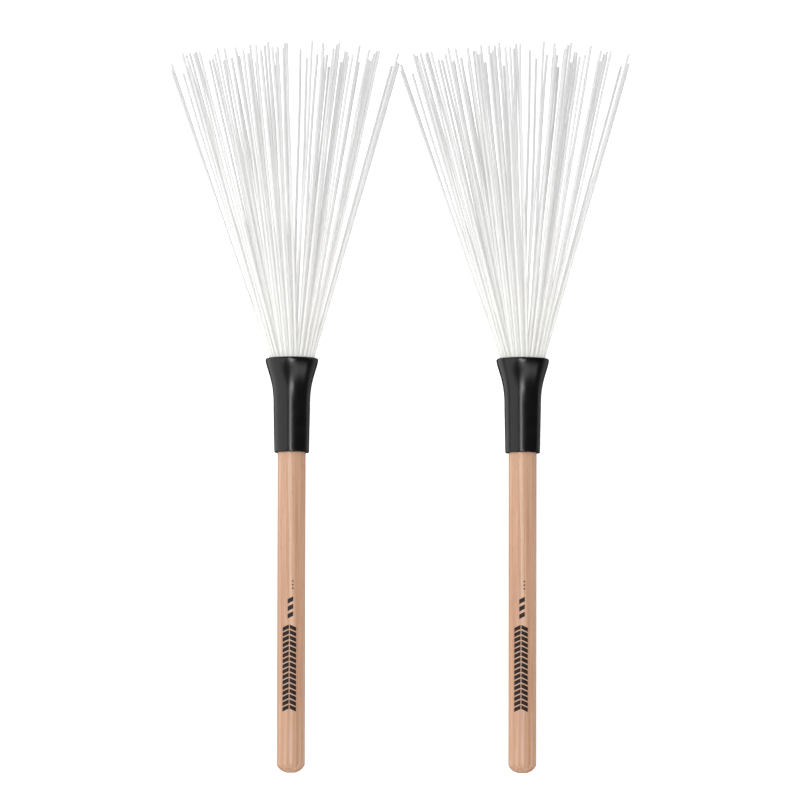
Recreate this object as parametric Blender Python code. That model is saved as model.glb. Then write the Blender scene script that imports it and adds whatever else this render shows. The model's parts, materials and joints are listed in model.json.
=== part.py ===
"""A pair of drum brushes with turned wooden handles, rubber collars and nylon bristles.

Both brushes lie on a level surface, side by side, with their bristles towards +Y. Each one rests
on the edge of its butt, on the lip of its collar and on its lower bristles, which the surface
bends flat. Distances along a brush are measured from its butt, and a brush's own frame has +Y
along its axis.
"""

import math
import random

import bmesh
import bpy
from mathutils import Matrix, Vector

MM = 0.001

# Driving dimensions: the pair
BRUSH_SPACING = 120.8 * MM
PAIR_OFFSET_X = 4.28 * MM         # the fans lean towards -X, so the axes sit off the pair's middle
PAIR_MIDDLE = 191.16 * MM         # the distance from the butts to the middle of the pair's length

# The handle
HANDLE_RADIUS = 7.35 * MM
SPIGOT_RADIUS = 6.4 * MM
SPIGOT_START = 176.0 * MM
SPIGOT_END = 189.7 * MM
SPIGOT_CHAMFER = 0.5 * MM
BUTT_FLAT_RADIUS = 2.0 * MM
BUTT_ROUNDING = 4.2 * MM
BUTT_POWER = 1.5
BUTT_STATIONS = (0.0, 0.06, 0.2, 0.4, 0.65, 1.0)  # shares of the butt's rounded length

# The collar
COLLAR_START = 167.4 * MM
COLLAR_END = 216.9 * MM
COLLAR_START_RADIUS = 9.1 * MM
COLLAR_WAIST_RADIUS = 9.57 * MM
COLLAR_LIP_RADIUS = 13.9 * MM
COLLAR_BORE_RADIUS = 7.65 * MM
COLLAR_WALL = 1.75 * MM
COLLAR_EDGE = 0.5 * MM
FLARE_START = 190.2 * MM
FLARE_POWER = 2.9
SHOULDER_POWER = 1.85
FLARE_STATIONS = 8

# The ferrule and the adhesive bond inside it
FERRULE_START = 176.4 * MM
FERRULE_END = 198.0 * MM
FERRULE_BORE_RADIUS = 6.7 * MM
FERRULE_WALL = 0.45 * MM
BOND_START = 190.0 * MM
BOND_END = 191.7 * MM

# The bristle tufts
ROOT_HEAD_START = 192.0 * MM
ROOT_HEAD_END = 197.0 * MM
ROOT_HEAD_WIDTH = 0.95 * MM
ROOT_HEAD_GAP = 0.3 * MM
ROOT_HEAD_MARGIN = 0.1 * MM
BRISTLES_PER_TUFT = 4
TUFTS_PER_RING = (1, 2, 4, 6, 7)  # from the middle of the bundle outwards
FIRST_RING_RADIUS = 0.8 * MM
RING_PITCH = 1.25 * MM
BRISTLE_THICKNESS = 1.24 * MM     # the side of the square that has the round bristle's area
BRISTLE_REACH = 166.0 * MM        # from the mouth to the tip
REACH_VARIATION = 5.0 * MM
TRIMMED_SHARE = 0.15              # of the bristles, which are shortened by more than the others
TRIMMED_FACTOR = 1.6
MOUTH_BUNDLE_RADIUS = 11.0 * MM
FAN_SLOPE = 0.325                 # sideways over forward travel of a bristle on the outer ring
FAN_LEAN = -0.032
OUTER_RING_SHRINK = 0.14          # the outer tufts' largest step inwards from a round fan
INNER_RING_JITTER = 0.07
TUFT_SWING = 0.25                 # a tuft's largest turn around the bundle, in bristle pitches
TUFT_CLOSENESS = (0.25, 0.75)     # the spread of a tuft's bristles in the fan, as a share of even
FAN_JITTER = 0.02
FLARE_GAIN = 3.0 * MM             # extra spread that the bristles gain as they leave the mouth
FLARE_RUN = 30.0 * MM
BRISTLE_STATIONS = (0.0, 26 * MM, 64 * MM, 108 * MM)  # forward of the mouth; the tip is the last
BRISTLE_SPACING = 1.75 * MM        # the least distance between bristles' middles beyond the mouth
SPACING_SAMPLES = 6
LAYER_HEIGHT = 0.5 * MM
MOST_LAYERS = 16
LAYOUT_SEED = 1684

TURNED_SIDES = 28

# Worked out from the driving dimensions
OUTER_RING_RADIUS = FIRST_RING_RADIUS + RING_PITCH * (len(TUFTS_PER_RING) - 1)
TILT = math.atan((COLLAR_LIP_RADIUS - HANDLE_RADIUS) / (COLLAR_END - COLLAR_EDGE - BUTT_ROUNDING))
BUTT_HEIGHT = HANDLE_RADIUS * math.cos(TILT) - BUTT_ROUNDING * math.sin(TILT)
MOUTH_HEIGHT = BUTT_HEIGHT + COLLAR_END * math.sin(TILT)
RESTING_HEIGHT = BRISTLE_THICKNESS * math.sqrt(0.5)


# Shared helpers

def clear_scene():
    for old in list(bpy.data.objects):
        bpy.data.objects.remove(old, do_unlink=True)


def make_material(name, color, roughness, metallic=0.0):
    material = bpy.data.materials.new(name)
    material.use_nodes = True
    shader = material.node_tree.nodes["Principled BSDF"]
    shader.inputs["Base Color"].default_value = (*color, 1.0)
    shader.inputs["Roughness"].default_value = roughness
    shader.inputs["Metallic"].default_value = metallic
    material.diffuse_color = (*color, 1.0)
    return material


def make_object(name, bm, material, parent, smooth_angle=30.0):
    bmesh.ops.recalc_face_normals(bm, faces=bm.faces)
    mesh = bpy.data.meshes.new(name)
    bm.to_mesh(mesh)
    bm.free()
    mesh.materials.append(material)
    mesh.shade_smooth()
    mesh.set_sharp_from_angle(angle=math.radians(smooth_angle))
    piece = bpy.data.objects.new(name, mesh)
    bpy.context.scene.collection.objects.link(piece)
    piece.parent = parent
    return piece


def make_empty(name, location, tilt=0.0, parent=None):
    empty = bpy.data.objects.new(name, None)
    empty.location = location
    empty.rotation_euler = (tilt, 0.0, 0.0)
    empty.parent = parent
    bpy.context.scene.collection.objects.link(empty)
    return empty


def ring_of_points(bm, radius, along):
    points = []
    for side in range(TURNED_SIDES):
        angle = 2 * math.pi * side / TURNED_SIDES - math.pi / 2
        points.append(bm.verts.new((radius * math.cos(angle), along, radius * math.sin(angle))))
    return points


def bridge(bm, first, second):
    for side in range(len(first)):
        after = (side + 1) % len(first)
        bm.faces.new((first[side], first[after], second[after], second[side]))


def turned_solid(outline):
    """A solid of revolution about +Y; the outline holds (radius, distance along) from end to end."""
    bm = bmesh.new()
    rings = [ring_of_points(bm, radius, along) for radius, along in outline]
    for first, second in zip(rings, rings[1:]):
        bridge(bm, first, second)
    bm.faces.new(rings[0])
    bm.faces.new(rings[-1])
    return bm


def turned_sleeve(outline):
    """A sleeve about +Y; the outline of its wall is closed."""
    bm = bmesh.new()
    rings = [ring_of_points(bm, radius, along) for radius, along in outline]
    for first, second in zip(rings, rings[1:] + rings[:1]):
        bridge(bm, first, second)
    return bm


# The handle, collar, ferrule and bond

def butt_radius(along):
    """Radius of the domed butt at a distance from its flat end."""
    rise = 1 - abs(1 - along / BUTT_ROUNDING) ** BUTT_POWER
    return BUTT_FLAT_RADIUS + (HANDLE_RADIUS - BUTT_FLAT_RADIUS) * rise ** (1 / BUTT_POWER)


def add_handle(side, wood, brush):
    outline = [(butt_radius(part * BUTT_ROUNDING), part * BUTT_ROUNDING) for part in BUTT_STATIONS]
    outline += [
        (HANDLE_RADIUS, SPIGOT_START),
        (SPIGOT_RADIUS, SPIGOT_START),
        (SPIGOT_RADIUS, SPIGOT_END - SPIGOT_CHAMFER),
        (SPIGOT_RADIUS - SPIGOT_CHAMFER, SPIGOT_END),
    ]
    return make_object(f"{side}_handle", turned_solid(outline), wood, brush)


def collar_radius(along):
    """Outer radius of the collar: a slight taper, then a flare that rounds off into the lip."""
    if along < FLARE_START:
        part = (along - COLLAR_START) / (FLARE_START - COLLAR_START)
        return COLLAR_START_RADIUS + (COLLAR_WAIST_RADIUS - COLLAR_START_RADIUS) * part
    part = (along - FLARE_START) / (COLLAR_END - FLARE_START)
    swell = 1 - (1 - part ** FLARE_POWER) ** SHOULDER_POWER
    return COLLAR_WAIST_RADIUS + (COLLAR_LIP_RADIUS - COLLAR_WAIST_RADIUS) * swell


def add_collar(side, rubber, brush):
    lip_start = COLLAR_END - COLLAR_EDGE
    flare = [
        FLARE_START + (lip_start - FLARE_START) * step / FLARE_STATIONS
        for step in range(FLARE_STATIONS + 1)
    ]
    outside = [
        (COLLAR_START_RADIUS - COLLAR_EDGE, COLLAR_START),
        (COLLAR_START_RADIUS, COLLAR_START + COLLAR_EDGE),
    ]
    outside += [(collar_radius(along), along) for along in flare]
    lip = [
        (COLLAR_LIP_RADIUS - COLLAR_EDGE, COLLAR_END),
        (COLLAR_LIP_RADIUS - COLLAR_WALL + COLLAR_EDGE, COLLAR_END),
    ]
    inside = [(collar_radius(along) - COLLAR_WALL, along) for along in reversed(flare[1:])]
    inside += [(COLLAR_BORE_RADIUS, FLARE_START), (COLLAR_BORE_RADIUS, COLLAR_START)]
    return make_object(f"{side}_collar", turned_sleeve(outside + lip + inside), rubber, brush)


def add_ferrule(side, aluminium, brush):
    outer = FERRULE_BORE_RADIUS + FERRULE_WALL
    outline = [
        (outer, FERRULE_START),
        (outer, FERRULE_END),
        (FERRULE_BORE_RADIUS, FERRULE_END),
        (FERRULE_BORE_RADIUS, FERRULE_START),
    ]
    return make_object(f"{side}_ferrule", turned_sleeve(outline), aluminium, brush)


def add_bond_plug(side, resin, brush):
    outline = [(SPIGOT_RADIUS, BOND_START), (SPIGOT_RADIUS, BOND_END)]
    return make_object(f"{side}_bond_plug", turned_solid(outline), resin, brush)


# The bristles

class Bristle:
    """One filament: its tuft, its place in the bundle, its place in the fan and its reach.

    Places are in units of the outer ring's radius.
    """

    def __init__(self, tuft, place, fan_place, reach):
        self.tuft = tuft
        self.place = place
        self.fan_place = fan_place
        self.reach = reach
        self.layer = 0


def plan_bristles():
    """All the bristles of a brush, tuft by tuft, with each tuft's bristles drawn together."""
    chance = random.Random(LAYOUT_SEED)
    bristles = []
    tuft = 0
    last_ring = len(TUFTS_PER_RING) - 1
    for ring, tufts in enumerate(TUFTS_PER_RING):
        radius = (FIRST_RING_RADIUS + RING_PITCH * ring) / OUTER_RING_RADIUS
        turn = chance.uniform(0, 2 * math.pi)
        step = 2 * math.pi / tufts / BRISTLES_PER_TUFT
        for index in range(tufts):
            middle = turn + 2 * math.pi * index / tufts
            closeness = chance.uniform(*TUFT_CLOSENESS)
            if ring == last_ring:
                fan_radius = radius * (1 - chance.uniform(0, OUTER_RING_SHRINK))
            else:
                fan_radius = radius * (1 + chance.uniform(-INNER_RING_JITTER, INNER_RING_JITTER))
            swing = chance.uniform(-TUFT_SWING, TUFT_SWING) * step
            for number in range(BRISTLES_PER_TUFT):
                offset = (number - (BRISTLES_PER_TUFT - 1) / 2) * step
                angle = middle + offset
                fan_angle = middle + swing + offset * closeness
                fan_x = fan_radius * math.cos(fan_angle) + chance.uniform(-FAN_JITTER, FAN_JITTER)
                fan_z = fan_radius * math.sin(fan_angle) + chance.uniform(-FAN_JITTER, FAN_JITTER)
                shortening = chance.random() ** 2 * REACH_VARIATION
                if chance.random() < TRIMMED_SHARE:
                    shortening *= TRIMMED_FACTOR
                place = Vector((radius * math.cos(angle), radius * math.sin(angle)))
                fan_place = Vector((fan_x, fan_z))
                bristles.append(Bristle(tuft, place, fan_place, BRISTLE_REACH - shortening))
            tuft += 1
    return bristles


def to_level(across, along, up):
    """A point of a brush's own frame, seen from the mouth's middle in level, world-aligned axes."""
    return Matrix.Rotation(TILT, 3, "X") @ Vector((across, along - COLLAR_END, up))


def settled_height(height, slope, reach, forward):
    """Height, above the level it rests on, of a springy bristle that leaves the mouth with a slope.

    A bristle that would end below that level is bent like a cantilever. It touches with its tip
    only, or lands flat at the distance where its bending has died out.
    """
    straight = height + slope * forward
    if height + slope * reach >= 0:
        return straight
    landing = -3 * height / slope
    if landing < reach:
        return height * max(0.0, 1 - forward / landing) ** 3
    ratio = forward / reach
    lift = -(height + slope * reach)
    return straight + lift * ratio * ratio * (3 - ratio) / 2


def bristle_course(bristle):
    """Returns the bristle's forward reach and a function from a forward distance to its point.

    Points are seen from the mouth's middle in level axes.
    """
    slope_x = FAN_SLOPE * bristle.fan_place.x + FAN_LEAN
    slope_up = FAN_SLOPE * bristle.fan_place.y
    across = MOUTH_BUNDLE_RADIUS * bristle.place.x
    start = to_level(across, COLLAR_END, MOUTH_BUNDLE_RADIUS * bristle.place.y)
    rise = (math.sin(TILT) + slope_up * math.cos(TILT)) / (math.cos(TILT) - slope_up * math.sin(TILT))
    forward_reach = bristle.reach / math.sqrt(1 + slope_x ** 2 + rise ** 2)
    resting = RESTING_HEIGHT + bristle.layer * LAYER_HEIGHT - MOUTH_HEIGHT

    def point_at(forward):
        spread = forward + FLARE_GAIN * (1 - math.exp(-forward / FLARE_RUN))
        height = settled_height(start.z - resting, rise, forward_reach, forward)
        return Vector((start.x + slope_x * spread, start.y + forward, resting + height))

    return forward_reach, point_at


def station_points(bristle):
    """The bristle's middle at each of its stations, and at its tip."""
    reach, point_at = bristle_course(bristle)
    return [point_at(forward) for forward in (*BRISTLE_STATIONS, reach)]


def too_close(points, others):
    for index in range(len(points) - 1):
        for sample in range(1, SPACING_SAMPLES + 1):
            part = sample / SPACING_SAMPLES
            here = points[index].lerp(points[index + 1], part)
            there = others[index].lerp(others[index + 1], part)
            if math.hypot(here.x - there.x, here.z - there.z) < BRISTLE_SPACING:
                return True
    return False


def lay_down(bristles):
    """Lowest first, raises the level that each bristle rests on until it clears those below it."""
    placed = []
    for bristle in sorted(bristles, key=lambda item: item.fan_place.y):
        points = station_points(bristle)
        while bristle.layer < MOST_LAYERS and any(too_close(points, other) for other in placed):
            bristle.layer += 1
            points = station_points(bristle)
        placed.append(points)


def root_head_cells(bm, ring, bristles):
    """The fused head of a tuft, an arc of cells in a row; returns each cell's front face."""
    radius = FIRST_RING_RADIUS + RING_PITCH * ring
    first = bristles[0].place
    cell_count = len(bristles)
    tuft_arc = 2 * math.pi / TUFTS_PER_RING[ring]
    arc = tuft_arc - ROOT_HEAD_GAP / radius
    middle = math.atan2(first.y, first.x) + (cell_count - 1) / 2 * tuft_arc / cell_count
    rows = []
    for station in range(cell_count + 1):
        angle = middle + arc * (station / cell_count - 0.5)
        corners = []
        for along in (ROOT_HEAD_START, ROOT_HEAD_END):
            for reach in (radius - ROOT_HEAD_WIDTH / 2, radius + ROOT_HEAD_WIDTH / 2):
                across, up = reach * math.cos(angle), reach * math.sin(angle)
                corners.append(bm.verts.new(to_level(across, along, up)))
        rows.append(corners)
    fronts = []
    for near, far in zip(rows, rows[1:]):
        back_in, back_out, front_in, front_out = near
        next_back_in, next_back_out, next_front_in, next_front_out = far
        bm.faces.new((back_in, back_out, next_back_out, next_back_in))
        bm.faces.new((back_in, next_back_in, next_front_in, front_in))
        bm.faces.new((back_out, front_out, next_front_out, next_back_out))
        fronts.append(bm.faces.new((front_in, next_front_in, next_front_out, front_out)))
    for back_in, back_out, front_in, front_out in (rows[0], rows[-1]):
        bm.faces.new((back_in, front_in, front_out, back_out))
    return fronts


def grow_bristle(bm, face, bristle):
    """Sweeps a square section from a face of the head along the bristle's course."""
    outward = Vector((bristle.place.x, 0, bristle.place.y)).normalized()
    around = Vector((-outward.z, 0, outward.x))
    centre = face.calc_center_median()
    signs = []
    for corner in face.verts:
        arm = corner.co - centre
        signs.append((math.copysign(1, arm.dot(outward)), math.copysign(1, arm.dot(around))))
    previous = list(face.verts)
    bm.faces.remove(face)
    half = BRISTLE_THICKNESS / 2
    for middle in station_points(bristle):
        section = [bm.verts.new(middle + outward * out * half + around * turn * half)
                   for out, turn in signs]
        bridge(bm, previous, section)
        previous = section
    bm.faces.new(previous)


def add_tuft(name, ring, bristles, nylon, pivot):
    bm = bmesh.new()
    fronts = root_head_cells(bm, ring, bristles)
    bmesh.ops.inset_individual(bm, faces=fronts, thickness=ROOT_HEAD_MARGIN)
    for face, bristle in zip(fronts, bristles):
        grow_bristle(bm, face, bristle)
    return make_object(name, bm, nylon, pivot)


def add_tufts(side, bristles, nylon, pivot):
    tuft = 0
    for ring, tufts in enumerate(TUFTS_PER_RING):
        for _ in range(tufts):
            members = [bristle for bristle in bristles if bristle.tuft == tuft]
            tuft += 1
            add_tuft(f"{side}_tuft_{tuft:02d}", ring, members, nylon, pivot)


# The pair

def add_brush(side, axis_x, bristles, materials):
    brush = make_empty(f"{side}_brush_frame", (axis_x, -PAIR_MIDDLE, BUTT_HEIGHT), TILT)
    add_handle(side, materials["wood"], brush)
    add_collar(side, materials["rubber"], brush)
    add_ferrule(side, materials["aluminium"], brush)
    add_bond_plug(side, materials["resin"], brush)
    mouth_y = COLLAR_END * math.cos(TILT) - PAIR_MIDDLE
    pivot = make_empty(f"{side}_bristle_pivot", (axis_x, mouth_y, MOUTH_HEIGHT))
    add_tufts(side, bristles, materials["nylon"], pivot)


def main():
    clear_scene()
    materials = {
        "wood": make_material("turned_hardwood", (0.68, 0.43, 0.29), 0.45),
        "rubber": make_material("black_rubber", (0.012, 0.012, 0.014), 0.35),
        "aluminium": make_material("ferrule_aluminium", (0.75, 0.76, 0.78), 0.35, 1.0),
        "resin": make_material("bond_resin", (0.55, 0.42, 0.2), 0.4),
        "nylon": make_material("bristle_nylon", (0.85, 0.85, 0.83), 0.3),
    }
    bristles = plan_bristles()
    lay_down(bristles)
    add_brush("left", PAIR_OFFSET_X - BRUSH_SPACING / 2, bristles, materials)
    add_brush("right", PAIR_OFFSET_X + BRUSH_SPACING / 2, bristles, materials)


main()
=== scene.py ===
"""Looks of a pair of drum brushes: turned wooden handles, rubber collars and nylon bristles."""

import json
import math
import random

import bmesh
import bpy
from mathutils import Matrix, Vector


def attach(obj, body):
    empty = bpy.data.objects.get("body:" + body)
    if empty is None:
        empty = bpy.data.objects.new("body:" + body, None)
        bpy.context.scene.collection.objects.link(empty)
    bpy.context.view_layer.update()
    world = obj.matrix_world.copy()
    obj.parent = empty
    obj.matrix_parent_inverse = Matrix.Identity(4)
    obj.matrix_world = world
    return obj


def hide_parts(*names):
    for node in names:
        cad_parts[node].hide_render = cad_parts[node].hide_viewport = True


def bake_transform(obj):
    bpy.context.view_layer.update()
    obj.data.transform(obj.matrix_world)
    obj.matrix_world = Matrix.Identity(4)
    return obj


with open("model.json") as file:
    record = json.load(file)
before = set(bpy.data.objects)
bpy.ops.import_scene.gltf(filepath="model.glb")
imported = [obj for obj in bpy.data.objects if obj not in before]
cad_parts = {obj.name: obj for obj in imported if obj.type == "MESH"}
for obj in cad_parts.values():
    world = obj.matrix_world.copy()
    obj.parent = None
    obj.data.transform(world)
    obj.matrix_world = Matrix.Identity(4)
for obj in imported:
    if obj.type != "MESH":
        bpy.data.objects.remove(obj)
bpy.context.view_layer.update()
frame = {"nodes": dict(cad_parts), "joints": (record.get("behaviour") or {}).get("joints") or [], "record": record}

MM = 0.001
SIDES = ("left", "right")
RECORD = frame["record"]

# The brush, in its own frame: +Y along its axis from the butt
HANDLE_RADIUS = 7.35 * MM
SPIGOT_RADIUS = 6.4 * MM
SPIGOT_START = 176.0 * MM
SPIGOT_END = 189.7 * MM
SPIGOT_CHAMFER = 0.5 * MM
BUTT_FLAT_RADIUS = 2.0 * MM
BUTT_ROUNDING = 4.2 * MM
BUTT_POWER = 1.5
COLLAR_START = 167.4 * MM
COLLAR_END = 216.9 * MM
COLLAR_START_RADIUS = 9.1 * MM
COLLAR_WAIST_RADIUS = 9.57 * MM
COLLAR_LIP_RADIUS = 13.9 * MM
COLLAR_BORE_RADIUS = 7.65 * MM
COLLAR_WALL = 1.75 * MM
COLLAR_EDGE = 0.5 * MM
LIP_ROUNDING = 1.0 * MM
FLARE_START = 190.2 * MM
FLARE_POWER = 2.9
SHOULDER_POWER = 1.85

# How finely the turned pieces are drawn
TURNED_SIDES = 128
BUTT_STEPS = 14
HANDLE_STATIONS = 12
COLLAR_STATIONS = 48
BOTTOM_EDGE_STEPS = 5
LIP_STEPS = 10
INNER_EDGE_STEPS = 6
SMOOTH_ANGLE = math.radians(40.0)

# The bristles
ROOT_HEAD_START = 192.0 * MM
ROOT_HEAD_END = 197.0 * MM
ROOT_HEAD_WIDTH = 0.95 * MM
ROOT_HEAD_GAP = 0.3 * MM
BRISTLES_PER_TUFT = 4
TUFTS_PER_RING = (1, 2, 4, 6, 7)
FIRST_RING_RADIUS = 0.8 * MM
RING_PITCH = 1.25 * MM
BRISTLE_RADIUS = 0.7 * MM
CAD_BRISTLE_THICKNESS = 1.24 * MM
BRISTLE_REACH = 166.0 * MM
REACH_VARIATION = 5.0 * MM
TRIMMED_SHARE = 0.15
TRIMMED_FACTOR = 1.6
MOUTH_BUNDLE_RADIUS = 11.0 * MM
FAN_SLOPE = 0.325
FAN_LEAN = -0.032
OUTER_RING_SHRINK = 0.14
INNER_RING_JITTER = 0.07
TUFT_SWING = 0.25
TUFT_CLOSENESS = (0.25, 0.75)
FAN_JITTER = 0.02
FLARE_GAIN = 3.0 * MM
FLARE_RUN = 30.0 * MM
COURSE_STATIONS = (0.0, 26 * MM, 64 * MM, 108 * MM)
BRISTLE_SPACING = 1.75 * MM
SPACING_SAMPLES = 6
LAYER_HEIGHT = 0.5 * MM
MOST_LAYERS = 16
LAYOUT_SEED = 1684

# The fine shape of the filaments
CURL_SEED = 5
CURL = 0.7 * MM
CURL_WAVES = (0.6, 1.6)
CURL_HEADROOM = 6.0 * MM
THICKNESS_SHARE = (0.95, 1.03)
ROOT_EMBEDDING = 1.5 * MM
TIP_BEVEL_LENGTH = 0.25
TIP_BEVEL_WIDTH = 0.72
FREE_SEGMENTS = 40
ROOT_SEGMENTS = 8
BRISTLE_SIDES = 12
SLOPE_PROBE = 0.1 * MM

OUTER_RING_RADIUS = FIRST_RING_RADIUS + RING_PITCH * (len(TUFTS_PER_RING) - 1)


# Frames of the two brushes

def butt_mount(side):
    return next(mount for mount in RECORD["mounts"] if mount["name"] == f"{side}_butt_face")


def mouth_middle(side):
    joint = next(joint for joint in frame["joints"] if joint["name"] == f"{side}_bristle_flex")
    return Vector(joint["pos_m"])


def brush_matrix(side):
    mount = butt_mount(side)
    forward = -Vector(mount["axis"])
    tilt = math.atan2(forward.z, forward.y)
    return Matrix.Translation(mount["pos_m"]) @ Matrix.Rotation(tilt, 4, "X")


TILT = math.atan2(-butt_mount("left")["axis"][2], -butt_mount("left")["axis"][1])
MOUTH_HEIGHT = mouth_middle("left").z


# Shader helpers

def new_material(name):
    material = bpy.data.materials.new(name)
    material.use_nodes = True
    tree = material.node_tree
    return material, tree, tree.nodes["Principled BSDF"]


def add_node(tree, kind, settings=None, **sockets):
    """Adds a node; a socket's value is a number, a colour or another node's output."""
    node = tree.nodes.new(kind)
    for name, value in (settings or {}).items():
        setattr(node, name, value)
    for name, value in sockets.items():
        socket = node.inputs[name.replace("_", " ")]
        if isinstance(value, bpy.types.NodeSocket):
            tree.links.new(value, socket)
        else:
            socket.default_value = value
    return node


def stretched(tree, scale):
    """The object's own coordinates, multiplied per axis."""
    place = add_node(tree, "ShaderNodeTexCoord")
    mapping = add_node(tree, "ShaderNodeMapping", Vector=place.outputs["Object"], Scale=scale)
    return mapping.outputs["Vector"]


def ramp(tree, factor, stops):
    """A colour ramp; stops hold (position, colour)."""
    node = add_node(tree, "ShaderNodeValToRGB", Fac=factor)
    elements = node.color_ramp.elements
    while len(elements) < len(stops):
        elements.new(0.5)
    for element, (position, color) in zip(elements, stops):
        element.position = position
        element.color = (*color, 1.0)
    return node.outputs["Color"]


def mix_colors(tree, factor, first, second, blend_type="MIX"):
    node = tree.nodes.new("ShaderNodeMix")
    node.data_type = "RGBA"
    node.blend_type = blend_type
    for index, value in ((0, factor), (6, first), (7, second)):
        if isinstance(value, bpy.types.NodeSocket):
            tree.links.new(value, node.inputs[index])
        elif index:
            node.inputs[index].default_value = (*value, 1.0)
        else:
            node.inputs[index].default_value = value
    return node.outputs[2]


def add_bump(tree, shader, height, distance, strength=1.0):
    bump = add_node(tree, "ShaderNodeBump", Height=height, Distance=distance, Strength=strength)
    tree.links.new(bump.outputs["Normal"], shader.inputs["Normal"])


# Materials

def wood_material():
    """Pale pinkish hardwood, cut along the grain, under a thin satin lacquer."""
    material, tree, shader = new_material("turned_hardwood")
    warp = add_node(tree, "ShaderNodeTexNoise", Vector=stretched(tree, (60, 9, 60)),
                    Scale=1.0, Detail=2.0)
    bands = add_node(tree, "ShaderNodeTexNoise", Vector=stretched(tree, (520, 7, 520)),
                     Scale=1.0, Detail=4.0, Roughness=0.6, Distortion=0.4)
    fibres = add_node(tree, "ShaderNodeTexNoise", Vector=stretched(tree, (2600, 42, 2600)),
                      Scale=1.0, Detail=3.0, Roughness=0.65)
    pores = add_node(tree, "ShaderNodeTexNoise", Vector=stretched(tree, (3800, 210, 3800)),
                     Scale=1.0, Detail=1.0)
    body = ramp(tree, bands.outputs["Fac"], (
        (0.32, (0.432, 0.234, 0.143)),
        (0.45, (0.505, 0.288, 0.180)),
        (0.56, (0.557, 0.344, 0.225)),
        (0.72, (0.627, 0.409, 0.297)),
    ))
    broad = ramp(tree, warp.outputs["Fac"], ((0.35, (0.93, 0.91, 0.90)), (0.65, (1.0, 1.0, 1.0))))
    toned = mix_colors(tree, 1.0, body, broad, "MULTIPLY")
    streaks = ramp(tree, fibres.outputs["Fac"], ((0.34, (0.86, 0.80, 0.76)), (0.56, (1.0, 1.0, 1.0))))
    streaked = mix_colors(tree, 0.8, toned, streaks, "MULTIPLY")
    pits = ramp(tree, pores.outputs["Fac"], ((0.27, (0.66, 0.56, 0.50)), (0.34, (1.0, 1.0, 1.0))))
    finished = mix_colors(tree, 0.7, streaked, pits, "MULTIPLY")
    tree.links.new(finished, shader.inputs["Base Color"])
    gloss = add_node(tree, "ShaderNodeMapRange", Value=fibres.outputs["Fac"], To_Min=0.50, To_Max=0.38)
    tree.links.new(gloss.outputs["Result"], shader.inputs["Roughness"])
    shader.inputs["Coat Weight"].default_value = 0.25
    shader.inputs["Coat Roughness"].default_value = 0.22
    add_bump(tree, shader, pores.outputs["Fac"], 0.02 * MM, 0.35)
    return material


def rubber_material():
    """Black moulded rubber: a soft gloss with slightly uneven polish and a fine skin."""
    material, tree, shader = new_material("black_rubber")
    cloud = add_node(tree, "ShaderNodeTexNoise", Vector=stretched(tree, (160, 160, 160)),
                     Scale=1.0, Detail=4.0, Roughness=0.6)
    skin = add_node(tree, "ShaderNodeTexNoise", Vector=stretched(tree, (3000, 3000, 3000)),
                    Scale=1.0, Detail=2.0)
    tint = ramp(tree, cloud.outputs["Fac"], (
        (0.30, (0.0035, 0.0035, 0.0040)),
        (0.75, (0.0060, 0.0058, 0.0064)),
    ))
    tree.links.new(tint, shader.inputs["Base Color"])
    gloss = add_node(tree, "ShaderNodeMapRange", Value=cloud.outputs["Fac"], To_Min=0.20, To_Max=0.29)
    tree.links.new(gloss.outputs["Result"], shader.inputs["Roughness"])
    add_bump(tree, shader, skin.outputs["Fac"], 0.012 * MM, 0.25)
    return material


def nylon_material():
    """Milky nylon, warm near the collar, with a shade per filament; a tone along the length and a painted glow,
    strongest near the collar, even out the shade that falls between the filaments.
    """
    material, tree, shader = new_material("bristle_nylon")
    shade = add_node(tree, "ShaderNodeAttribute", {"attribute_name": "shade"})
    travel = add_node(tree, "ShaderNodeAttribute", {"attribute_name": "travel"})
    cloud = add_node(tree, "ShaderNodeTexNoise", Vector=stretched(tree, (900, 60, 900)),
                     Scale=1.0, Detail=2.0)
    # Tone along the length, set together with the painted glow below to even out the shade between the filaments
    # near the collar
    base = ramp(tree, travel.outputs["Fac"], (
        (0.00, (0.58, 0.58, 0.555)),
        (0.15, (0.65, 0.65, 0.637)),
        (0.45, (0.66, 0.66, 0.658)),
        (1.00, (0.54, 0.54, 0.542)),
    ))
    tone = ramp(tree, shade.outputs["Fac"], ((0.0, (0.93, 0.93, 0.93)), (1.0, (1.0, 1.0, 1.0))))
    toned = mix_colors(tree, 1.0, base, tone, "MULTIPLY")
    milk = ramp(tree, cloud.outputs["Fac"], ((0.35, (0.97, 0.97, 0.97)), (0.65, (1.0, 1.0, 1.0))))
    tree.links.new(mix_colors(tree, 1.0, toned, milk, "MULTIPLY"), shader.inputs["Base Color"])
    gloss = add_node(tree, "ShaderNodeMapRange", Value=cloud.outputs["Fac"], To_Min=0.34, To_Max=0.46)
    tree.links.new(gloss.outputs["Result"], shader.inputs["Roughness"])
    shader.inputs["IOR"].default_value = 1.53
    shader.inputs["Specular IOR Level"].default_value = 0.3
    shader.inputs["Subsurface Weight"].default_value = 0.7
    shader.inputs["Subsurface Radius"].default_value = (1.0, 1.0, 0.95)
    shader.inputs["Subsurface Scale"].default_value = 1.2 * MM
    # Painted glow: an emission all along the filaments, strongest near the collar, standing in for light scattered
    # from filament to filament
    shader.inputs["Emission Color"].default_value = (1.0, 1.0, 0.99, 1.0)
    painted_glow = add_node(tree, "ShaderNodeMapRange", Value=travel.outputs["Fac"],
                    From_Min=0.0, From_Max=0.4, To_Min=0.22, To_Max=0.12)
    tree.links.new(painted_glow.outputs["Result"], shader.inputs["Emission Strength"])
    return material


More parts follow.
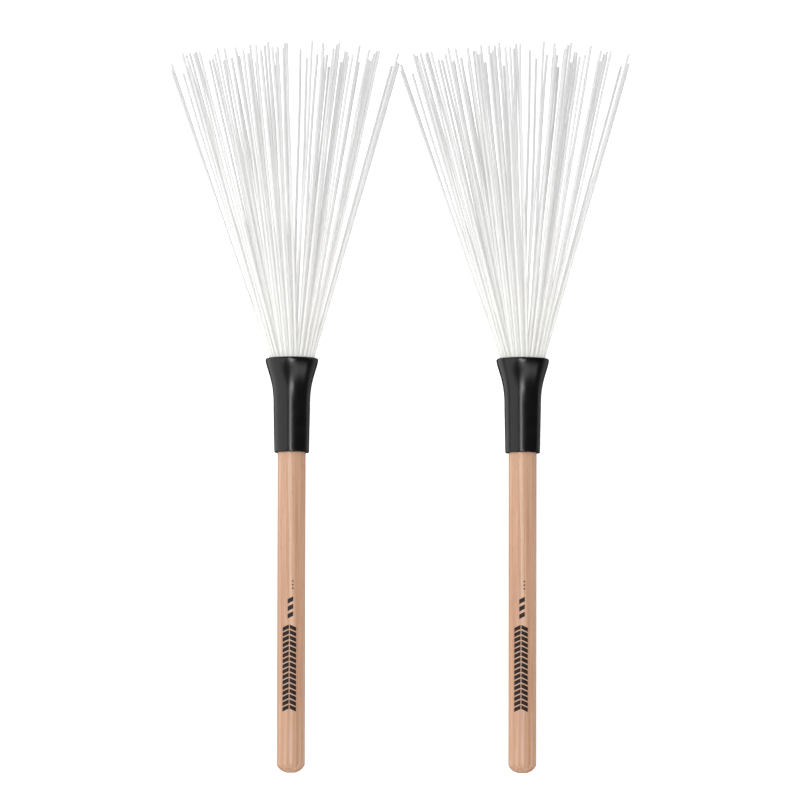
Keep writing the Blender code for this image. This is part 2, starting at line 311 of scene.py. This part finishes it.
def aluminium_material():
    """Drawn tube: fine lines around it, a little dulled."""
    material, tree, shader = new_material("ferrule_aluminium")
    lines = add_node(tree, "ShaderNodeTexNoise", Vector=stretched(tree, (200, 9000, 200)),
                     Scale=1.0, Detail=2.0)
    tint = ramp(tree, lines.outputs["Fac"], ((0.3, (0.62, 0.63, 0.65)), (0.7, (0.78, 0.79, 0.80))))
    tree.links.new(tint, shader.inputs["Base Color"])
    shader.inputs["Metallic"].default_value = 1.0
    gloss = add_node(tree, "ShaderNodeMapRange", Value=lines.outputs["Fac"], To_Min=0.25, To_Max=0.42)
    tree.links.new(gloss.outputs["Result"], shader.inputs["Roughness"])
    return material


def resin_material():
    """Cured amber adhesive with a few cloudy patches."""
    material, tree, shader = new_material("bond_resin")
    cloud = add_node(tree, "ShaderNodeTexNoise", Vector=stretched(tree, (500, 500, 500)),
                     Scale=1.0, Detail=3.0)
    tint = ramp(tree, cloud.outputs["Fac"], ((0.3, (0.42, 0.27, 0.10)), (0.7, (0.62, 0.46, 0.22))))
    tree.links.new(tint, shader.inputs["Base Color"])
    shader.inputs["Roughness"].default_value = 0.3
    add_bump(tree, shader, cloud.outputs["Fac"], 0.1 * MM, 0.4)
    return material


def ink_material():
    """Dark grey-brown ink, printed a little unevenly on the lacquer."""
    material, tree, shader = new_material("printed_ink")
    wear = add_node(tree, "ShaderNodeTexNoise", Vector=stretched(tree, (2500, 900, 2500)),
                    Scale=1.0, Detail=3.0, Roughness=0.7)
    tint = ramp(tree, wear.outputs["Fac"], (
        (0.35, (0.010, 0.007, 0.007)),
        (0.72, (0.030, 0.020, 0.018)),
    ))
    tree.links.new(tint, shader.inputs["Base Color"])
    shader.inputs["Roughness"].default_value = 0.5
    shader.inputs["Specular IOR Level"].default_value = 0.2
    return material


def floor_material():
    """A white sheet lit from below, so that shadows on it stay faint."""
    material, tree, shader = new_material("pale_floor")
    cloud = add_node(tree, "ShaderNodeTexNoise", Vector=stretched(tree, (3, 3, 3)),
                     Scale=1.0, Detail=2.0)
    tint = ramp(tree, cloud.outputs["Fac"], ((0.3, (0.60, 0.60, 0.60)), (0.7, (0.62, 0.62, 0.62))))
    tree.links.new(tint, shader.inputs["Base Color"])
    shader.inputs["Roughness"].default_value = 0.9
    shader.inputs["Specular IOR Level"].default_value = 0.1
    shader.inputs["Emission Color"].default_value = (1, 1, 1, 1)
    shader.inputs["Emission Strength"].default_value = 0.85
    return material


MATERIALS = {
    "wood": wood_material(),
    "rubber": rubber_material(),
    "nylon": nylon_material(),
    "aluminium": aluminium_material(),
    "resin": resin_material(),
    "ink": ink_material(),
    "floor": floor_material(),
}


# Mesh helpers

def link_mesh(name, bm, material):
    bmesh.ops.recalc_face_normals(bm, faces=bm.faces)
    mesh = bpy.data.meshes.new(name)
    bm.to_mesh(mesh)
    bm.free()
    mesh.materials.append(material)
    mesh.shade_smooth()
    mesh.set_sharp_from_angle(angle=SMOOTH_ANGLE)
    piece = bpy.data.objects.new(name, mesh)
    bpy.context.scene.collection.objects.link(piece)
    return piece


def ring_of_points(bm, radius, along):
    points = []
    for side in range(TURNED_SIDES):
        angle = 2 * math.pi * side / TURNED_SIDES - math.pi / 2
        points.append(bm.verts.new((radius * math.cos(angle), along, radius * math.sin(angle))))
    return points


def bridge(bm, first, second):
    for side in range(len(first)):
        after = (side + 1) % len(first)
        bm.faces.new((first[side], first[after], second[after], second[side]))


def turned(outline, closed):
    """A solid of revolution about +Y: an open outline gets flat ends, a closed one is a sleeve."""
    bm = bmesh.new()
    rings = [ring_of_points(bm, radius, along) for radius, along in outline]
    for first, second in zip(rings, rings[1:]):
        bridge(bm, first, second)
    if closed:
        bridge(bm, rings[-1], rings[0])
    else:
        bm.faces.new(rings[0])
        bm.faces.new(rings[-1])
    return bm


def arc_points(centre, radius, start, end, steps):
    """Points of (radius, along) on a round edge, with angles in degrees from outwards to forwards."""
    points = []
    for step in range(steps + 1):
        angle = math.radians(start + (end - start) * step / steps)
        points.append((centre[0] + radius * math.cos(angle), centre[1] + radius * math.sin(angle)))
    return points


def spread_stations(start, end, count):
    return [start + (end - start) * step / count for step in range(count + 1)]


# Handle and collar

def butt_radius(along):
    rise = 1 - abs(1 - along / BUTT_ROUNDING) ** BUTT_POWER
    return BUTT_FLAT_RADIUS + (HANDLE_RADIUS - BUTT_FLAT_RADIUS) * rise ** (1 / BUTT_POWER)


def add_handle(side):
    steps = [(step / BUTT_STEPS) ** 2 for step in range(BUTT_STEPS + 1)]
    outline = [(butt_radius(step * BUTT_ROUNDING), step * BUTT_ROUNDING) for step in steps]
    outline += [(HANDLE_RADIUS, along)
                for along in spread_stations(BUTT_ROUNDING, SPIGOT_START, HANDLE_STATIONS)[1:]]
    outline += [
        (SPIGOT_RADIUS, SPIGOT_START),
        (SPIGOT_RADIUS, SPIGOT_END - SPIGOT_CHAMFER),
        (SPIGOT_RADIUS - SPIGOT_CHAMFER, SPIGOT_END),
    ]
    handle = link_mesh(f"{side}_turned_handle", turned(outline, False), MATERIALS["wood"])
    handle.matrix_world = brush_matrix(side)
    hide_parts(f"{side}_handle")
    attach(handle, f"{side}_brush")


def collar_radius(along):
    if along < FLARE_START:
        part = (along - COLLAR_START) / (FLARE_START - COLLAR_START)
        return COLLAR_START_RADIUS + (COLLAR_WAIST_RADIUS - COLLAR_START_RADIUS) * part
    part = (along - FLARE_START) / (COLLAR_END - FLARE_START)
    swell = 1 - (1 - part ** FLARE_POWER) ** SHOULDER_POWER
    return COLLAR_WAIST_RADIUS + (COLLAR_LIP_RADIUS - COLLAR_WAIST_RADIUS) * swell


def add_collar(side):
    edge = COLLAR_EDGE
    rounding = LIP_ROUNDING
    lip_start = COLLAR_END - rounding
    bottom = arc_points((COLLAR_START_RADIUS - edge, COLLAR_START + edge), edge,
                        -90, 0, BOTTOM_EDGE_STEPS)
    body = [(collar_radius(along), along)
            for along in spread_stations(COLLAR_START + edge, lip_start, COLLAR_STATIONS)[1:]]
    lip = arc_points((collar_radius(lip_start) - rounding, lip_start), rounding,
                     0, 90, LIP_STEPS)[1:]
    inner_radius = collar_radius(lip_start) - COLLAR_WALL
    lip += arc_points((inner_radius + edge, COLLAR_END - edge), edge, 90, 180, INNER_EDGE_STEPS)
    inner_stations = spread_stations(FLARE_START, lip_start, COLLAR_STATIONS // 2)[1:-1]
    inside = [(collar_radius(along) - COLLAR_WALL, along) for along in reversed(inner_stations)]
    bore = [
        (COLLAR_BORE_RADIUS, FLARE_START),
        (COLLAR_BORE_RADIUS, COLLAR_START + edge / 2),
        (COLLAR_BORE_RADIUS + edge / 2, COLLAR_START),
    ]
    outline = bottom + body + lip + inside + bore
    collar = link_mesh(f"{side}_moulded_collar", turned(outline, True), MATERIALS["rubber"])
    collar.matrix_world = brush_matrix(side)
    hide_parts(f"{side}_collar")
    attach(collar, f"{side}_brush")


# Bristle layout, the same as the solids'

class Bristle:
    """One filament: its tuft and ring, its place in the bundle and in the fan, and its reach."""

    def __init__(self, tuft, ring, place, fan_place, reach):
        self.tuft = tuft
        self.ring = ring
        self.place = place
        self.fan_place = fan_place
        self.reach = reach
        self.layer = 0


def plan_bristles():
    chance = random.Random(LAYOUT_SEED)
    bristles = []
    tuft = 0
    last_ring = len(TUFTS_PER_RING) - 1
    for ring, tufts in enumerate(TUFTS_PER_RING):
        radius = (FIRST_RING_RADIUS + RING_PITCH * ring) / OUTER_RING_RADIUS
        turn = chance.uniform(0, 2 * math.pi)
        step = 2 * math.pi / tufts / BRISTLES_PER_TUFT
        for index in range(tufts):
            middle = turn + 2 * math.pi * index / tufts
            closeness = chance.uniform(*TUFT_CLOSENESS)
            if ring == last_ring:
                fan_radius = radius * (1 - chance.uniform(0, OUTER_RING_SHRINK))
            else:
                fan_radius = radius * (1 + chance.uniform(-INNER_RING_JITTER, INNER_RING_JITTER))
            swing = chance.uniform(-TUFT_SWING, TUFT_SWING) * step
            for number in range(BRISTLES_PER_TUFT):
                offset = (number - (BRISTLES_PER_TUFT - 1) / 2) * step
                angle = middle + offset
                fan_angle = middle + swing + offset * closeness
                fan_x = fan_radius * math.cos(fan_angle) + chance.uniform(-FAN_JITTER, FAN_JITTER)
                fan_z = fan_radius * math.sin(fan_angle) + chance.uniform(-FAN_JITTER, FAN_JITTER)
                shortening = chance.random() ** 2 * REACH_VARIATION
                if chance.random() < TRIMMED_SHARE:
                    shortening *= TRIMMED_FACTOR
                place = Vector((radius * math.cos(angle), radius * math.sin(angle)))
                fan_place = Vector((fan_x, fan_z))
                reach = BRISTLE_REACH - shortening
                bristles.append(Bristle(tuft, ring, place, fan_place, reach))
            tuft += 1
    return bristles


def to_level(across, along, up):
    return Matrix.Rotation(TILT, 3, "X") @ Vector((across, along - COLLAR_END, up))


def settled_height(height, slope, reach, forward):
    straight = height + slope * forward
    if height + slope * reach >= 0:
        return straight
    landing = -3 * height / slope
    if landing < reach:
        return height * max(0.0, 1 - forward / landing) ** 3
    ratio = forward / reach
    lift = -(height + slope * reach)
    return straight + lift * ratio * ratio * (3 - ratio) / 2


def bristle_course(bristle):
    slope_x = FAN_SLOPE * bristle.fan_place.x + FAN_LEAN
    slope_up = FAN_SLOPE * bristle.fan_place.y
    across = MOUTH_BUNDLE_RADIUS * bristle.place.x
    start = to_level(across, COLLAR_END, MOUTH_BUNDLE_RADIUS * bristle.place.y)
    rise = (math.sin(TILT) + slope_up * math.cos(TILT)) / (math.cos(TILT) - slope_up * math.sin(TILT))
    forward_reach = bristle.reach / math.sqrt(1 + slope_x ** 2 + rise ** 2)
    resting = CAD_BRISTLE_THICKNESS * math.sqrt(0.5) + bristle.layer * LAYER_HEIGHT - MOUTH_HEIGHT

    def point_at(forward):
        spread = forward + FLARE_GAIN * (1 - math.exp(-forward / FLARE_RUN))
        height = settled_height(start.z - resting, rise, forward_reach, forward)
        return Vector((start.x + slope_x * spread, start.y + forward, resting + height))

    return forward_reach, point_at


def station_points(bristle):
    reach, point_at = bristle_course(bristle)
    return [point_at(forward) for forward in (*COURSE_STATIONS, reach)]


def too_close(points, others):
    for index in range(len(points) - 1):
        for sample in range(1, SPACING_SAMPLES + 1):
            part = sample / SPACING_SAMPLES
            here = points[index].lerp(points[index + 1], part)
            there = others[index].lerp(others[index + 1], part)
            if math.hypot(here.x - there.x, here.z - there.z) < BRISTLE_SPACING:
                return True
    return False


def lay_down(bristles):
    placed = []
    for bristle in sorted(bristles, key=lambda item: item.fan_place.y):
        points = station_points(bristle)
        while bristle.layer < MOST_LAYERS and any(too_close(points, other) for other in placed):
            bristle.layer += 1
            points = station_points(bristle)
        placed.append(points)


# Bristle meshes

def root_point(bristle, along):
    ring_radius = FIRST_RING_RADIUS + RING_PITCH * bristle.ring
    direction = bristle.place.normalized()
    return to_level(ring_radius * direction.x, along, ring_radius * direction.y)


def filament_points(bristle, chance):
    """The filament's middle from inside its root head to its tip, with a slight natural curl."""
    reach, point_at = bristle_course(bristle)
    root = root_point(bristle, ROOT_HEAD_END)
    mouth = point_at(0.0)
    ahead = (point_at(SLOPE_PROBE) - mouth) / SLOPE_PROBE
    level = ahead - Vector((0, 1, 0))
    run = mouth.y - root.y
    points = [root_point(bristle, ROOT_HEAD_START + ROOT_EMBEDDING)]
    for step in range(ROOT_SEGMENTS):
        part = step / ROOT_SEGMENTS
        ease = part * part * (3 - 2 * part)
        bend = (part ** 3 - part ** 2) * run
        straight = root.lerp(mouth, ease)
        points.append(Vector((straight.x, root.y + run * part, straight.z)) + level * bend)
    curl_x = chance.uniform(-CURL, CURL)
    curl_z = chance.uniform(-CURL, CURL)
    waves = chance.uniform(*CURL_WAVES)
    phase = chance.uniform(0, 2 * math.pi)
    for step in range(FREE_SEGMENTS + 1):
        part = step / FREE_SEGMENTS
        point = point_at(reach * part)
        swell = (math.sin(2 * math.pi * waves * part + phase) - math.sin(phase)) * part
        point.x += curl_x * swell
        clearance = point.z + MOUTH_HEIGHT - 2 * BRISTLE_RADIUS
        point.z += curl_z * swell * max(0.0, min(1.0, clearance / CURL_HEADROOM))
        points.append(point)
    return points


def add_filament(bm, layers, points, radius, shade):
    """Sweeps a round section along the points, with a bevelled cut at the tip."""
    across = Vector((1, 0, 0))
    rings = []
    for index, point in enumerate(points):
        before = points[max(index - 1, 0)]
        after = points[min(index + 1, len(points) - 1)]
        forward = (after - before).normalized()
        side = (across - forward * across.dot(forward)).normalized()
        up = side.cross(forward)
        rings.append((point, side, up, radius))
    last_point, side, up, _ = rings[-1]
    forward = (points[-1] - points[-2]).normalized()
    rings[-1] = (last_point - forward * radius * TIP_BEVEL_LENGTH, side, up, radius)
    rings.append((last_point, side, up, radius * TIP_BEVEL_WIDTH))
    shade_layer, travel_layer = layers
    previous = None
    for point, side, up, width in rings:
        travel = max(0.0, min(1.0, point.y / BRISTLE_REACH))
        ring = []
        for corner in range(BRISTLE_SIDES):
            angle = 2 * math.pi * corner / BRISTLE_SIDES
            vert = bm.verts.new(point + (side * math.cos(angle) + up * math.sin(angle)) * width)
            vert[shade_layer] = shade
            vert[travel_layer] = travel
            ring.append(vert)
        if previous is None:
            bm.faces.new(ring)
        else:
            bridge(bm, previous, ring)
        previous = ring
    bm.faces.new(previous)


def add_root_head(bm, bristles):
    """The fused head of a tuft: an arc-shaped block."""
    ring = bristles[0].ring
    radius = FIRST_RING_RADIUS + RING_PITCH * ring
    tuft_arc = 2 * math.pi / TUFTS_PER_RING[ring]
    arc = tuft_arc - ROOT_HEAD_GAP / radius
    step = tuft_arc / len(bristles)
    first = bristles[0].place
    middle = math.atan2(first.y, first.x) + (len(bristles) - 1) / 2 * step
    segments = 4 * len(bristles)
    previous = None
    for station in range(segments + 1):
        angle = middle + arc * (station / segments - 0.5)
        section = []
        for out, along in ((-1, ROOT_HEAD_START), (1, ROOT_HEAD_START),
                           (1, ROOT_HEAD_END), (-1, ROOT_HEAD_END)):
            reach = radius + out * ROOT_HEAD_WIDTH / 2
            place = to_level(reach * math.cos(angle), along, reach * math.sin(angle))
            section.append(bm.verts.new(place))
        if previous is None:
            bm.faces.new(section)
        else:
            bridge(bm, previous, section)
        previous = section
    bm.faces.new(previous)


def add_tufts(side, bristles):
    chance = random.Random(CURL_SEED)
    mouth = mouth_middle(side)
    for tuft in range(sum(TUFTS_PER_RING)):
        members = [bristle for bristle in bristles if bristle.tuft == tuft]
        bm = bmesh.new()
        layers = bm.verts.layers.float.new("shade"), bm.verts.layers.float.new("travel")
        add_root_head(bm, members)
        for bristle in members:
            radius = BRISTLE_RADIUS * chance.uniform(*THICKNESS_SHARE)
            shade = chance.random()
            add_filament(bm, layers, filament_points(bristle, chance), radius, shade)
        piece = link_mesh(f"{side}_filaments_{tuft + 1:02d}", bm, MATERIALS["nylon"])
        piece.location = mouth
        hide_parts(f"{side}_tuft_{tuft + 1:02d}")
        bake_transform(piece)


# The printed mark

INK_LIFT = 0.03 * MM
HERRINGBONE_START = 32.0 * MM
HERRINGBONE_END = 76.6 * MM
HERRINGBONE_ROWS = 16
HERRINGBONE_COLUMNS = ((-36.0, -8.0, 1), (-5.0, 22.0, -1))
BAR_SHARE = 0.76
BAR_SLANT = 1.5 * MM
BAR_COLUMNS = 5
SHORT_BARS = 3
SHORT_BAR_START = 82.0 * MM
SHORT_BAR_PITCH = 3.9 * MM
SHORT_BAR_LENGTH = 2.4 * MM
SHORT_BAR_ANGLES = (-14.0, 9.0)
DOTS = 3
DOT_START = 95.9 * MM
DOT_PITCH = 1.9 * MM
DOT_LENGTH = 0.7 * MM
DOT_ANGLES = (4.0, 10.0)


def ink_bar(bm, middle, length, angles, slant):
    """A bar of ink around the handle; its length and slant are measured along the handle."""
    near = []
    far = []
    radius = HANDLE_RADIUS + INK_LIFT
    for column in range(BAR_COLUMNS + 1):
        part = column / BAR_COLUMNS
        angle = math.radians(angles[0] + (angles[1] - angles[0]) * part)
        along = middle + slant * (part - 0.5)
        across = radius * math.sin(angle)
        up = radius * math.cos(angle)
        near.append(bm.verts.new((across, along - length / 2, up)))
        far.append(bm.verts.new((across, along + length / 2, up)))
    for column in range(BAR_COLUMNS):
        bm.faces.new((near[column], near[column + 1], far[column + 1], far[column]))


def add_mark(side):
    """A plain printed ornament: a herringbone band, a short row of bars and three dots."""
    bm = bmesh.new()
    pitch = (HERRINGBONE_END - HERRINGBONE_START) / HERRINGBONE_ROWS
    for row in range(HERRINGBONE_ROWS):
        middle = HERRINGBONE_START + (row + 0.5) * pitch
        for start, end, lean in HERRINGBONE_COLUMNS:
            ink_bar(bm, middle, BAR_SHARE * pitch, (start, end), lean * BAR_SLANT)
    for row in range(SHORT_BARS):
        middle = SHORT_BAR_START + SHORT_BAR_PITCH * row
        ink_bar(bm, middle, SHORT_BAR_LENGTH, SHORT_BAR_ANGLES, BAR_SLANT)
    for dot in range(DOTS):
        ink_bar(bm, DOT_START + DOT_PITCH * dot, DOT_LENGTH, DOT_ANGLES, 0.0)
    mark = link_mesh(f"{side}_printed_mark", bm, MATERIALS["ink"])
    mark.matrix_world = brush_matrix(side)
    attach(mark, f"{side}_brush")


# The inner pieces keep their solids

def finish_inner(side):
    for node, material in ((f"{side}_ferrule", "aluminium"), (f"{side}_bond_plug", "resin")):
        piece = frame["nodes"][node]
        piece.data.materials.clear()
        piece.data.materials.append(MATERIALS[material])


# The studio

FLOOR_HALF_WIDTH = 6.0
FLOOR_DROP = 0.02 * MM
WORLD_STRENGTH = (0.72, 0.56)

LENS = 420.0
SENSOR_WIDTH = 36.0
SHOWN_WIDTH = 418.9 * MM
CAMERA_ELEVATION = math.radians(83.5)
CAMERA_ROLL = math.radians(0.12)
CAMERA_TARGET = Vector((0.5 * MM, 4.3 * MM, 10 * MM))
CAMERA_REACH = 50.0

ALONG = Vector((0, 1, 0))
SIDEWAYS = Vector((1, 0, 0))
SLANTING = Vector((3.04, 0, -2.09))

# Each light's name, place, aim, the direction of its width, width, height and radiance
LIGHTS = (
    ("left_softbox", (-2.75, 0.13, 1.0), (0, 0.13, 1.0), ALONG, 4.0, 8.5, 1.1),
    ("right_glow", (2.75, 0.13, -2.4), (0, 0.13, -2.4), ALONG, 4.0, 3.0, 0.38),
    ("top_strip", (-0.52, 0.09, 3.38), (-0.52, 0.09, 0), SIDEWAYS, 0.50, 2.6, 8.5),
    ("top_box", (0.12, -0.88, 3.38), (0.12, -0.88, 0), SIDEWAYS, 0.78, 0.66, 9.5),
    ("right_bar", (1.08, -1.17, 1.63), (0, 0, 0), SLANTING, 3.7, 0.32, 2.6),
)


def add_floor():
    bm = bmesh.new()
    bmesh.ops.create_grid(bm, x_segments=1, y_segments=1, size=FLOOR_HALF_WIDTH)
    floor = link_mesh("studio_floor", bm, MATERIALS["floor"])
    floor.location.z = -FLOOR_DROP
    floor.visible_glossy = False


def add_area_light(name, place, aim, width_axis, width, height, radiance):
    """A rectangular light; its power follows from its size and radiance."""
    data = bpy.data.lights.new(name, "AREA")
    data.shape = "RECTANGLE"
    data.size = width
    data.size_y = height
    data.energy = math.pi * width * height * radiance
    away = (Vector(place) - Vector(aim)).normalized()
    across = (width_axis - away * width_axis.dot(away)).normalized()
    light = bpy.data.objects.new(name, data)
    light.location = place
    light.rotation_euler = Matrix((across, away.cross(across), away)).transposed().to_euler()
    light.visible_camera = False
    bpy.context.scene.collection.objects.link(light)


def add_world():
    """An even surround, a little brighter on the left, which glossy surfaces don't mirror."""
    world = bpy.data.worlds.new("studio_world")
    world.use_nodes = True
    tree = world.node_tree
    place = add_node(tree, "ShaderNodeTexCoord")
    split = add_node(tree, "ShaderNodeSeparateXYZ", Vector=place.outputs["Generated"])
    strength = add_node(tree, "ShaderNodeMapRange", Value=split.outputs["X"],
                        From_Min=-1.0, From_Max=1.0,
                        To_Min=WORLD_STRENGTH[0], To_Max=WORLD_STRENGTH[1])
    background = tree.nodes["Background"]
    background.inputs["Color"].default_value = (1, 1, 1, 1)
    tree.links.new(strength.outputs["Result"], background.inputs["Strength"])
    world.cycles_visibility.glossy = False
    bpy.context.scene.world = world


def add_lights():
    """Softboxes at the sides, the right one low and weak, and a strip, a box and a bar above."""
    for light in LIGHTS:
        add_area_light(*light)
    bpy.context.scene.view_settings.view_transform = "Standard"


def add_camera():
    """A long lens above the pair, looking down a little from the butts' side."""
    data = bpy.data.cameras.new("camera")
    data.sensor_width = SENSOR_WIDTH
    data.lens = LENS
    data.clip_end = CAMERA_REACH
    camera = bpy.data.objects.new("camera", data)
    bpy.context.scene.collection.objects.link(camera)
    distance = SHOWN_WIDTH / 2 / (SENSOR_WIDTH / 2 / LENS)
    back = Vector((0, -math.cos(CAMERA_ELEVATION), math.sin(CAMERA_ELEVATION)))
    camera.location = CAMERA_TARGET + back * distance
    camera.rotation_euler = (-back).to_track_quat("-Z", "Y").to_euler()
    camera.rotation_euler.rotate_axis("Z", CAMERA_ROLL)
    bpy.context.scene.camera = camera


def main():
    bristles = plan_bristles()
    lay_down(bristles)
    for side in SIDES:
        add_handle(side)
        add_collar(side)
        add_tufts(side, bristles)
        add_mark(side)
        finish_inner(side)
    add_floor()
    add_world()
    add_lights()
    add_camera()


main()
